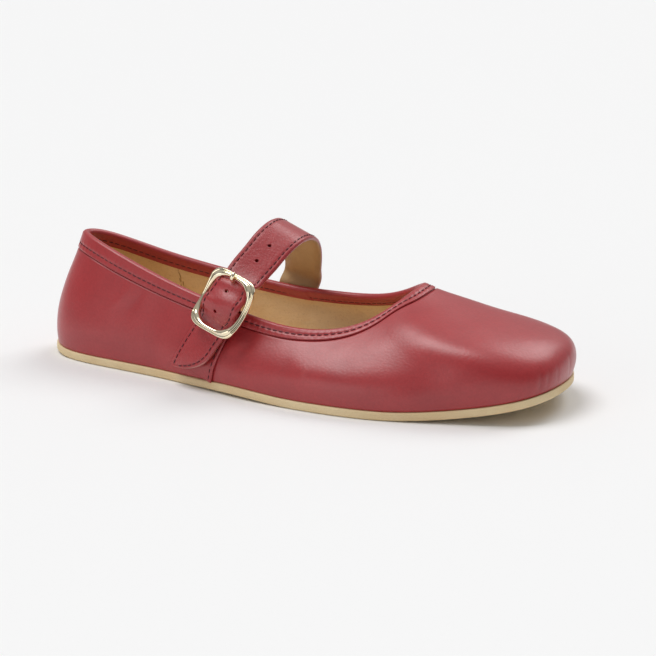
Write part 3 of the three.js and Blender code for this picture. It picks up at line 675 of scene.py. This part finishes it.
def wallPlace(side, along, height):  # u and v of the wall's place at x and z
    low, high = (1, 7) if side < 0 else (11, 17)
    u, v = np.meshgrid(np.linspace(low, high, 61), np.linspace(0, 1, 41), indexing="ij")
    spots = lastPoint(u, v)
    miss = np.abs(spots[..., 0] - along) + np.abs(spots[..., 2] - height)
    best = np.unravel_index(miss.argmin(), miss.shape)
    place, target, step = np.array([u[best], v[best]]), np.array([along, height]), 1e-4
    for _ in range(8):
        here = lastPoint(place[0], place[1])[[0, 2]]
        slope = np.stack([(lastPoint(place[0] + step, place[1])[[0, 2]] - here) / step,
                          (lastPoint(place[0], place[1] + step)[[0, 2]] - here) / step], 1)
        place = place + np.linalg.solve(slope, target - here)
        place[1] = np.clip(place[1], 0, 1)
    return place


def offWall(side, along, height, lift):
    return shellPoint(*wallPlace(side, along, height), -lift)


def leaning(lean, turn):
    dip, swing = math.radians(lean), math.radians(turn)
    return np.array([math.cos(dip) * math.cos(swing), -math.cos(dip) * math.sin(swing), -math.sin(dip)])


def alongWall(side, along, height, lean):
    out, across = lastNormal(*wallPlace(side, along, height)), leaning(lean, 0)
    return unit(across - out * (across @ out))


class Path:  # centripetal curve through places, walked by distance
    def __init__(self, places, acrosses, samples=6000):
        places = np.array(places)
        self.acrosses = np.array(acrosses)
        ends = [2 * places[0] - places[1], *places, 2 * places[-1] - places[-2]]
        self.t = np.linspace(0, len(places) - 1, samples)
        self.spots = np.array([self.spot(ends, value) for value in self.t])
        self.walked = walk(self.spots)
        self.length = self.walked[-1]

    @staticmethod
    def spot(ends, t):
        i = min(int(t), len(ends) - 4)
        w = t - i
        p = ends[i:i + 4]
        d = [max(np.linalg.norm(p[k + 1] - p[k]) ** 0.5, 1e-4) for k in range(3)]
        t1 = ((p[1] - p[0]) / d[0] - (p[2] - p[0]) / (d[0] + d[1]) + (p[2] - p[1]) / d[1]) * d[1]
        t2 = ((p[2] - p[1]) / d[1] - (p[3] - p[1]) / (d[1] + d[2]) + (p[3] - p[2]) / d[2]) * d[1]
        c2, c3 = -3 * p[1] + 3 * p[2] - 2 * t1 - t2, 2 * p[1] - 2 * p[2] + t1 + t2
        return p[1] + t1 * w + c2 * w ** 2 + c3 * w ** 3

    def placeAt(self, distance):
        distance = np.clip(distance, 0, self.length)
        return np.stack([np.interp(distance, self.walked, axis) for axis in self.spots.T], -1)

    def at(self, distance):  # place, along, across, out
        distance = np.clip(distance, 0, self.length)
        along = unit(self.placeAt(distance + 0.3) - self.placeAt(distance - 0.3))
        t = np.interp(distance, self.walked, self.t)
        i = np.minimum(np.asarray(t, int), len(self.acrosses) - 2)
        f = (t - i)[..., None]
        across = self.acrosses[i] * (1 - f) + self.acrosses[i + 1] * f
        across = unit(across - along * np.sum(across * along, -1, keepdims=True))
        return self.placeAt(distance), along, across, unit(np.cross(along, across))


def sharePlace(alongShare, heightShare):
    return (alongShare - 0.5) * shoe["length"], heightShare * strap["height"]


strapRows = []
for where, alongShare, heightShare, value, lean, turn in strapTable:
    along, height = sharePlace(alongShare, heightShare)
    if where in ("inner", "outer"):
        side = 1 if where == "inner" else -1
        strapRows.append((offWall(side, along, height, value), alongWall(side, along, height, lean)))
    else:
        strapRows.append((np.array([along, value * shoe["ballWidth"], height]), leaning(lean, turn)))
strapPath = Path(*zip(*strapRows))
buckleRow = [row[0] for row in strapTable].index("buckle")
buckleDistance = float(np.interp(buckleRow, strapPath.t, strapPath.walked))
barRadius, prongRadius = buckle["bar"] / 2, buckle["prong"] / 2
railLow = strap["thickness"] + gap
barLevel = railLow - buckle["dip"] + barRadius * 0.6
eyeRadius = barRadius + gap + prongRadius
strapRise = barLevel + eyeRadius + prongRadius + gap
buckleFrame = list(strapPath.at(buckleDistance))
turned, (_, downWay, acrossWay, _) = math.radians(buckle["turn"]), buckleFrame
buckleFrame[1] = downWay * math.cos(turned) + acrossWay * math.sin(turned)
buckleFrame[2] = acrossWay * math.cos(turned) - downWay * math.sin(turned)


def humpShare(distance):  # steep above the bar, easy below it
    down = (distance - buckleDistance) / buckle["length"]
    return smoothstep(down, *strap["humpStart"]) * smoothstep(-down, *strap["humpEnd"])


def strapHalf(distance):  # drawn in where it passes through the buckle
    away = np.abs(distance - buckleDistance) / buckle["length"]
    return strap["width"] / 2 * (1 - strap["squeeze"] * smoothstep(-away, -0.55, -0.35)
                                 + strap["spread"] * smoothstep(-away, -0.33, -0.13))


def strapBase(distance):  # inner face of the strap, lifted over the centre bar
    place, _, across, out = strapPath.at(distance)
    down = distance - buckleDistance
    swell = sum(high * np.exp(-((down - at) / wide) ** 2) for at, wide, high in strap["swells"])
    lift = strapRise * humpShare(distance) + swell
    return place + buckleFrame[3] * np.asarray(lift)[..., None], across, out


def byBuckle(down, across, out):
    place, downWay, acrossWay, outWay = buckleFrame
    down, across, out = (np.asarray(value, float)[..., None] for value in (down, across, out))
    return place + downWay * down + acrossWay * across + outWay * out


def hugging(where, distance):  # shifts in y that lay the strap's whole width on the wall
    rows = [k for k, row in enumerate(strapTable) if row[0] == where]
    walked = np.interp(rows, strapPath.t, strapPath.walked)
    lifts = [strapTable[k][3] for k in rows]
    spots, sides = np.linspace(walked[0], walked[-1], 9), np.linspace(-0.5, 0.5, 7) * strap["width"]
    shifts = np.zeros((len(spots), len(sides)))
    inner = where == "inner"
    for i, spot in enumerate(spots):
        place, _, across, _ = strapPath.at(spot)
        for k, side in enumerate(sides):
            x, y, z = place + across * side
            offTab = 0 if inner else strap["offTab"] * smoothstep(-side, 3.5, 9)
            lift = np.interp(spot, walked, lifts) - offTab
            shifts[i, k] = offWall(1 if inner else -1, x, z, lift)[1] - y
    if inner:
        fade = 1 - smoothstep(distance, walked[-2] - 4, walked[-1])
    else:
        fade = smoothstep(distance, walked[0] + 1, walked[1] + 5)

    def shiftAt(side):
        byRow = np.stack([np.interp(distance, spots, column) for column in shifts.T], 1)
        return fade * np.array([np.interp(s, sides, row) for s, row in zip(side, byRow)])
    return shiftAt


def makeStrap():
    distance = np.linspace(0, strapPath.length, strap["steps"])
    base, across, out = strapBase(distance)
    thick, edge, level = strap["thickness"], strap["edge"], np.zeros(len(distance))
    half = strapHalf(distance)
    corner = strap["width"] * 1.08
    cut = np.clip((distance - strapPath.length + corner) / corner, 0, 1)
    front, rear = half - (strap["width"] - 2.6) * cut ** 2.4, -half
    hump, endWear = humpShare(distance), smoothstep(cut, 0.12, 0.5)
    innerShift, outerShift = hugging("inner", distance), hugging("outer", distance)
    rows = []

    def at(side, lift):  # a row of places, drooping at the sides where it humps over the bar
        spots = base + across * side[:, None]
        spots += out * (lift - strap["crown"] * hump * (side / half) ** 2)[:, None]
        spots[:, 1] += innerShift(side) + outerShift(side)
        return spots

    def addRow(side, lift, shade=0.0):
        rows.append((at(side, lift), level + shade, side))

    shares = np.linspace(0, 1, 29)
    for share in shares:  # top face, rear edge to front edge
        side = rear + (front - rear) * share
        fromEdge = np.minimum(side - rear, front - side)
        crown = strap["puff"] * (1 - np.exp(-(fromEdge / 1.2) ** 2))
        seam = np.exp(-((fromEdge - strap["stitchIn"]) / 0.45) ** 2)
        bevel = edge - np.sqrt(np.maximum(edge ** 2 - np.maximum(edge - fromEdge, 0) ** 2, 0))
        # painted shade along the stitch groove; the paler edges, strongest at the strap's end, are wear
        worn = np.exp(-(fromEdge / 0.5) ** 2) * (0.5 + 1.1 * endWear * (share > 0.5))
        addRow(side, thick - 0.12 + crown - strap["groove"] * seam - bevel * 0.9, 0.45 * seam - worn)
    sideRows = ((0, 0.62), (0.1, 0.3), (0.5, 0.0))  # inset and height of the cut edges
    for inset, share in sideRows:
        addRow(front - inset, thick * share + level, -1.4 * endWear * (share > 0))
    for share in (0.75, 0.5, 0.25):
        addRow(rear + (front - rear) * share, level)
    for inset, share in sideRows[::-1]:
        addRow(rear + inset, thick * share + level)
    ring, fold, sides = (np.stack(row, 1) for row in zip(*rows))
    piece = makePiece("instepStrap", ring, ["strap", "strapLiningShaded"], False, True,
                      second=(len(shares) + 1, len(rows) - 2), fold=fold,
                      along=np.repeat(distance[:, None], len(rows), 1), side=sides)
    used = buckleDistance - buckle["length"] * strap["usedAbove"]
    cutters = []
    for step in strap["holes"]:
        where, _, outWay = strapBase(used + step * strap["holeSpacing"])
        cutters.append((where + outWay * (thick + 0.8), outWay))
    punch(piece, cutters, strap["holeDiameter"])
    settle(piece, "red_leather", "strap")
    rearRow = at(rear + strap["stitchIn"], thick + 0.02 + level)
    frontRow = at(front - strap["stitchIn"], thick + 0.02 + level)
    return {"rearStitches": rearRow[(distance < strapPath.length - 2.4) & (distance > 1)],
            "frontStitches": frontRow[(distance < strapPath.length - 3.2) & (distance > 1)]}


def punch(piece, cutters, diameter):
    work = bmesh.new()
    radius = diameter / 2 * metre
    for middle, way in cutters:
        turned = Vector(way).to_track_quat("Z", "Y").to_matrix().to_4x4()
        turned.translation = Vector((middle + origin) * metre)
        bmesh.ops.create_cone(work, cap_ends=True, segments=28, radius1=radius, radius2=radius, depth=0.005,
                              matrix=turned)
    mesh = bpy.data.meshes.new("punches")
    work.to_mesh(mesh)
    work.free()
    punches = addItem("punches", mesh)
    cutter = piece.modifiers.new("punch", "BOOLEAN")
    cutter.operation, cutter.object, cutter.solver = "DIFFERENCE", punches, "EXACT"
    bake(piece)
    bpy.data.objects.remove(punches)


def bake(piece):
    graph = bpy.context.evaluated_depsgraph_get()
    shaped = piece.evaluated_get(graph)
    mesh = bpy.data.meshes.new_from_object(shaped, preserve_all_data_layers=True, depsgraph=graph)
    piece.modifiers.clear()
    piece.data = mesh


strapStitches = makeStrap()
print("strap made, buckle at", round(buckleDistance, 1), "of", round(strapPath.length, 1))


def tubeRings(points, radius, sides, taper=1.0):
    along = unit(np.gradient(points, axis=0))
    side = unit(np.cross(along, buckleFrame[2] + 0.001))
    up = np.cross(side, along)
    size = radius * np.asarray(taper)[..., None]
    angles = 2 * math.pi * np.arange(sides) / sides
    return np.stack([points + (side * np.cos(angle) + up * np.sin(angle)) * size for angle in angles], 1)


def makeBuckle():
    railWidth, steps = buckle["railWidth"], 300
    angle = np.linspace(0, 2 * math.pi, steps + 1)[:-1]
    c, s = np.cos(angle), np.sin(angle)

    def at(inset, level):  # a square outside goes over into an oval window
        squareness = buckle["squareness"] + (buckle["windowSquareness"] - buckle["squareness"]) * inset
        size = (np.abs(c) ** squareness + np.abs(s) ** squareness) ** (-1 / squareness)
        down = (buckle["length"] / 2 - inset * railWidth) * c * size
        across = (buckle["width"] / 2 - inset * railWidth) * s * size
        dip = buckle["dip"] * (1 - np.minimum(1, (down / (buckle["length"] * 0.34)) ** 2))
        return byBuckle(down, across, railLow + level * buckle["railThickness"] - dip)

    section = [(0.06, 0.0), (0.0, 0.1), (0.0, 0.42), (0.05, 0.56), (0.14, 0.66), (0.22, 0.68), (0.29, 0.6),
               (0.35, 0.62), (0.42, 0.82), (0.5, 0.94), (0.62, 1.0), (0.74, 0.98), (0.86, 0.88), (0.95, 0.72),
               (1.0, 0.5), (1.0, 0.1), (0.94, 0.0)]
    ring = np.stack([at(inset, level) for inset, level in section], 1)
    reach = buckle["width"] / 2 - railWidth * 0.5
    bar = tubeRings(byBuckle(0, np.linspace(-reach, reach, 6), barLevel), barRadius, 20)
    settle(makePiece("buckleRing", ring, ["gold"]), "pale_gold", "buckle_frame")
    settle(makePiece("buckleBar", bar, ["gold"], False), "pale_gold", "buckle_frame")


def makeProng():
    angle = np.radians(-200 + 29 * np.arange(11))  # the eye round the bar
    points = list(byBuckle(eyeRadius * np.cos(angle), 0, barLevel + eyeRadius * np.sin(angle)))
    railTop = railLow + buckle["railThickness"]
    tip, rest, low = buckle["length"] / 2 + gap, railTop + gap + prongRadius, barLevel + eyeRadius
    for share, level in ((0.36, low), (0.54, low), (0.69, railTop - 1.7), (0.81, rest - 0.05), (1, rest)):
        points.append(byBuckle(-tip * share, 0, level))
    steps = 90
    point = [1, 1, 0.99, 0.97, 0.93, 0.87, 0.78, 0.64, 0.44, 0.15]
    taper = np.concatenate([np.ones(steps - len(point)), point])
    path = Path(points, [np.zeros(3)] * len(points), 1500)
    spots = path.placeAt(np.linspace(0, path.length, steps))
    ring = tubeRings(spots, prongRadius * buckle["prongSwell"], 16, taper)
    settle(makePiece("bucklePin", ring, ["gold"], False), "pale_gold", "buckle_prong")


makeBuckle()
makeProng()
print("buckle made")

tabTable = [  # along, height, lift of its middle off the wall
    (0.364, 0.097, gap + 0.45), (0.37, 0.183, gap + 0.45), (0.38, 0.29, gap + 0.65),
    (0.39, 0.389, overBinding + 0.55), (0.399, 0.473, overBinding + 0.55),
]


def makeTab():
    places, acrosses = [], []
    for i, (alongShare, heightShare, lift) in enumerate(tabTable):
        along, height = sharePlace(alongShare, heightShare)
        places.append(offWall(-1, along, height, lift))
        acrosses.append(alongWall(-1, along, height, 14 * i / len(tabTable)))
    half, thick = tab["width"] / 2, tab["thickness"]
    under = strapPath.at(buckleDistance + buckle["length"] * tab["hangsAt"])
    places.append(under[0] + under[3] * (-2 * gap - thick / 2))
    loopRadius = barRadius + gap + thick / 2
    angle = np.radians(-90 - 200 * np.arange(10) / 9)  # the loop round the bar
    places.append(byBuckle(2.2, 0, barLevel - loopRadius))
    places += list(byBuckle(loopRadius * np.cos(angle), 0, barLevel + loopRadius * np.sin(angle)))
    places.append(byBuckle(tab["turnBack"] * 0.5, 0, barLevel + 0.5))
    places.append(byBuckle(tab["turnBack"], 0, barLevel - 0.5))
    acrosses += [buckleFrame[2]] * (len(places) - len(acrosses))
    path = Path(places, acrosses, 3000)
    distance = np.linspace(0, path.length, 260)
    place, along, across, _ = path.at(distance)
    out = unit(np.cross(across, along))
    rows = []
    for share in np.linspace(-1, 1, 19):
        fromEdge = half * (1 - abs(share))
        fromSeam = fromEdge - tab["seamIn"]
        lift = thick / 2 - 0.3 * math.exp(-(fromEdge / 0.35) ** 2) - 0.15 * math.exp(-(fromSeam / 0.4) ** 2)
        # painted shade along the stitch groove
        rows.append((share, lift, 0.4 * math.exp(-(fromSeam / 0.5) ** 2)))
    rows += [(share, -thick * 0.5, 0) for share in (1, 0.5, -0.5, -1)]
    ring = np.stack([place + across * half * share + out * lift for share, lift, _ in rows], 1)
    fold = np.repeat([[shade for *_, shade in rows]], len(distance), 0).astype(float)
    settle(makePiece("buckleTab", ring, ["tab"], False, fold=fold), "red_leather", "buckle_tab")
    keep = (distance > 2) & (distance < path.length * 0.45)
    return {name: (place + across * sign * (half - tab["seamIn"]) + out * (thick / 2))[keep]
            for name, sign in (("tabRearStitches", -1), ("tabFrontStitches", 1))}


tabStitches = makeTab()
print("tab made")

# stitches: Geometry Nodes set one thread bead on every pitch of a path
stitch = {"Pitch": binding["stitchPitch"], "Length": 2.6, "Thickness": 0.5}
zigzag = {"from": 9.5, "to": 36, "step": 1.5, "swing": 0.03}


def stitchTree():
    tree = bpy.data.node_groups.new("stitchRow", "GeometryNodeTree")

    def socket(name, kind, way="INPUT"):
        return tree.interface.new_socket(name, in_out=way, socket_type="NodeSocket" + kind)

    def add(kind, settings=(), **values):
        return addNode(tree, kind, settings, values).outputs[0]

    socket("Geometry", "Geometry")
    for name, value in stitch.items():
        socket(name, "Float").default_value = value * metre
    socket("Thread", "Material")
    socket("Geometry", "Geometry", "OUTPUT")
    given = tree.nodes.new("NodeGroupInput").outputs
    curve = add("GeometryNodeMeshToCurve", Mesh=given["Geometry"])
    spaced = add("GeometryNodeResampleCurve", {"mode": "LENGTH"}, Curve=curve, Length=given["Pitch"])
    bead = add("GeometryNodeMeshUVSphere", Segments=8, Rings=6, Radius=0.5)
    turned = add("FunctionNodeAlignRotationToVector", {"axis": "X"}, Vector=add("GeometryNodeInputTangent"))
    size = add("ShaderNodeCombineXYZ", X=given["Length"], Y=given["Thickness"], Z=given["Thickness"])
    placed = add("GeometryNodeInstanceOnPoints", Points=spaced, Instance=bead, Rotation=turned, Scale=size)
    real = add("GeometryNodeRealizeInstances", Geometry=placed)
    threaded = add("GeometryNodeSetMaterial", Geometry=real, Material=given["Thread"])
    addNode(tree, "NodeGroupOutput", {}, {0: threaded})
    return tree


stitchNodes = stitchTree()


def sew(name, points, look="redThread", closed=False, **sizes):
    points = (np.asarray(points) + origin) * metre
    edges = [(i, i + 1) for i in range(len(points) - 1)] + [(len(points) - 1, 0)] * closed
    mesh = bpy.data.meshes.new(name)
    mesh.from_pydata(points.tolist(), edges, [])
    piece = addItem(name, mesh)
    modifier = piece.modifiers.new("stitches", "NODES")
    modifier.node_group = stitchNodes
    sockets = {item.name: item.identifier for item in stitchNodes.interface.items_tree
               if item.in_out == "INPUT"}
    for key, value in sizes.items():
        modifier[sockets[key]] = value * metre
    modifier[sockets["Thread"]] = looks[look]
    bake(piece)
    piece.data.shade_smooth()
    settle(piece, "red_leather")


liningPath = []
for step, below in enumerate(np.arange(zigzag["from"], zigzag["to"], zigzag["step"])):
    u = upper["liningSeam"] + (zigzag["swing"] if step % 2 else -zigzag["swing"])
    liningPath.append(shellPoint(u, rowBelowTop(u, below), shoe["wall"] + 0.1))
liningPath[0] = (liningPath[0] + liningPath[1]) / 2
sew("liningZigzag", liningPath, "tanThread", Pitch=2.7, Length=2.4, Thickness=0.45)
for name, points in bindingRows.items():
    sew(name, points, closed=True)
for name, points in {**strapStitches, **tabStitches}.items():
    sew(name, points, Pitch=2.9, Length=2.2, Thickness=0.5)
print("stitches made")

# floor, light and camera
studio = {
    "azimuth": 26.0, "elevation": 15.254, "distance": 1153.4, "target": (4.28, 1.30, 25.0), "lens": 140.7,
    "sensor": 36, "shiftX": 0.0222, "shiftY": -0.0062, "floorHalf": 6, "skyStrength": 0.40,
    "skyWay": (-0.15, 0.35, 0.92), "sky": ((0.02, (0.30, 0.30, 0.31)), (0.55, (1, 1, 1))),
}
suns = {"topSun": ((-0.31, -0.10, 0.94), 1.48, 33), "backSun": ((0.22, 0.60, 0.76), 0.98, 34),
        "frontSun": ((-0.35, -0.92, 0.16), 0.52, 40)}  # from where, strength, angle


def makeFloor():
    mesh = bpy.data.meshes.new("floor")
    far = studio["floorHalf"]
    mesh.from_pydata([(-far, -far, 0), (far, -far, 0), (far, far, 0), (-far, far, 0)], [], [(0, 1, 2, 3)])
    floor = addItem("floor", mesh)
    paint = Paint("floorPaper")
    colour = paint.mix(paint.noise(2, 2), *colours["floor"])
    mesh.materials.append(paint.finish(colour, 0.9, Specular_IOR_Level=0.1))


def makeSky():  # brighter above and behind
    world = bpy.data.worlds.new("studioWorld")
    bpy.context.scene.world = world
    world.use_nodes = True
    tree = world.node_tree
    way = addNode(tree, "ShaderNodeTexCoord").outputs["Generated"]
    aim = addNode(tree, "ShaderNodeVectorMath", {"operation": "DOT_PRODUCT"}, {0: way, 1: studio["skyWay"]})
    ramp = addNode(tree, "ShaderNodeValToRGB", {}, {0: aim.outputs["Value"]})
    for element, (position, colour) in zip(ramp.color_ramp.elements, studio["sky"]):
        element.position, element.color = position, (*colour, 1)
    background = tree.nodes["Background"]
    tree.links.new(ramp.outputs[0], background.inputs["Color"])
    background.inputs["Strength"].default_value = studio["skyStrength"]


def makeStudio():
    bpy.context.scene.view_settings.view_transform = "Standard"
    makeSky()
    for name, (way, power, angle) in suns.items():
        lamp = bpy.data.lights.new(name, "SUN")
        lamp.energy, lamp.angle = power, math.radians(angle)
        sun = addItem(name, lamp)
        sun.location = way
        sun.rotation_euler = (-Vector(way)).to_track_quat("-Z", "Y").to_euler()
    a, e = math.radians(studio["azimuth"]), math.radians(studio["elevation"])
    back = Vector((math.sin(a) * math.cos(e), -math.cos(a) * math.cos(e), math.sin(e)))
    data = bpy.data.cameras.new("photoCamera")
    data.lens, data.sensor_width = studio["lens"], studio["sensor"]
    data.shift_x, data.shift_y = studio["shiftX"], studio["shiftY"]
    camera = addItem("photoCamera", data)
    camera.location = (Vector(studio["target"]) + back * studio["distance"]) * metre
    camera.rotation_euler = back.to_track_quat("Z", "Y").to_euler()
    bpy.context.scene.camera = camera


makeFloor()
makeStudio()
print("floor, light and camera made")
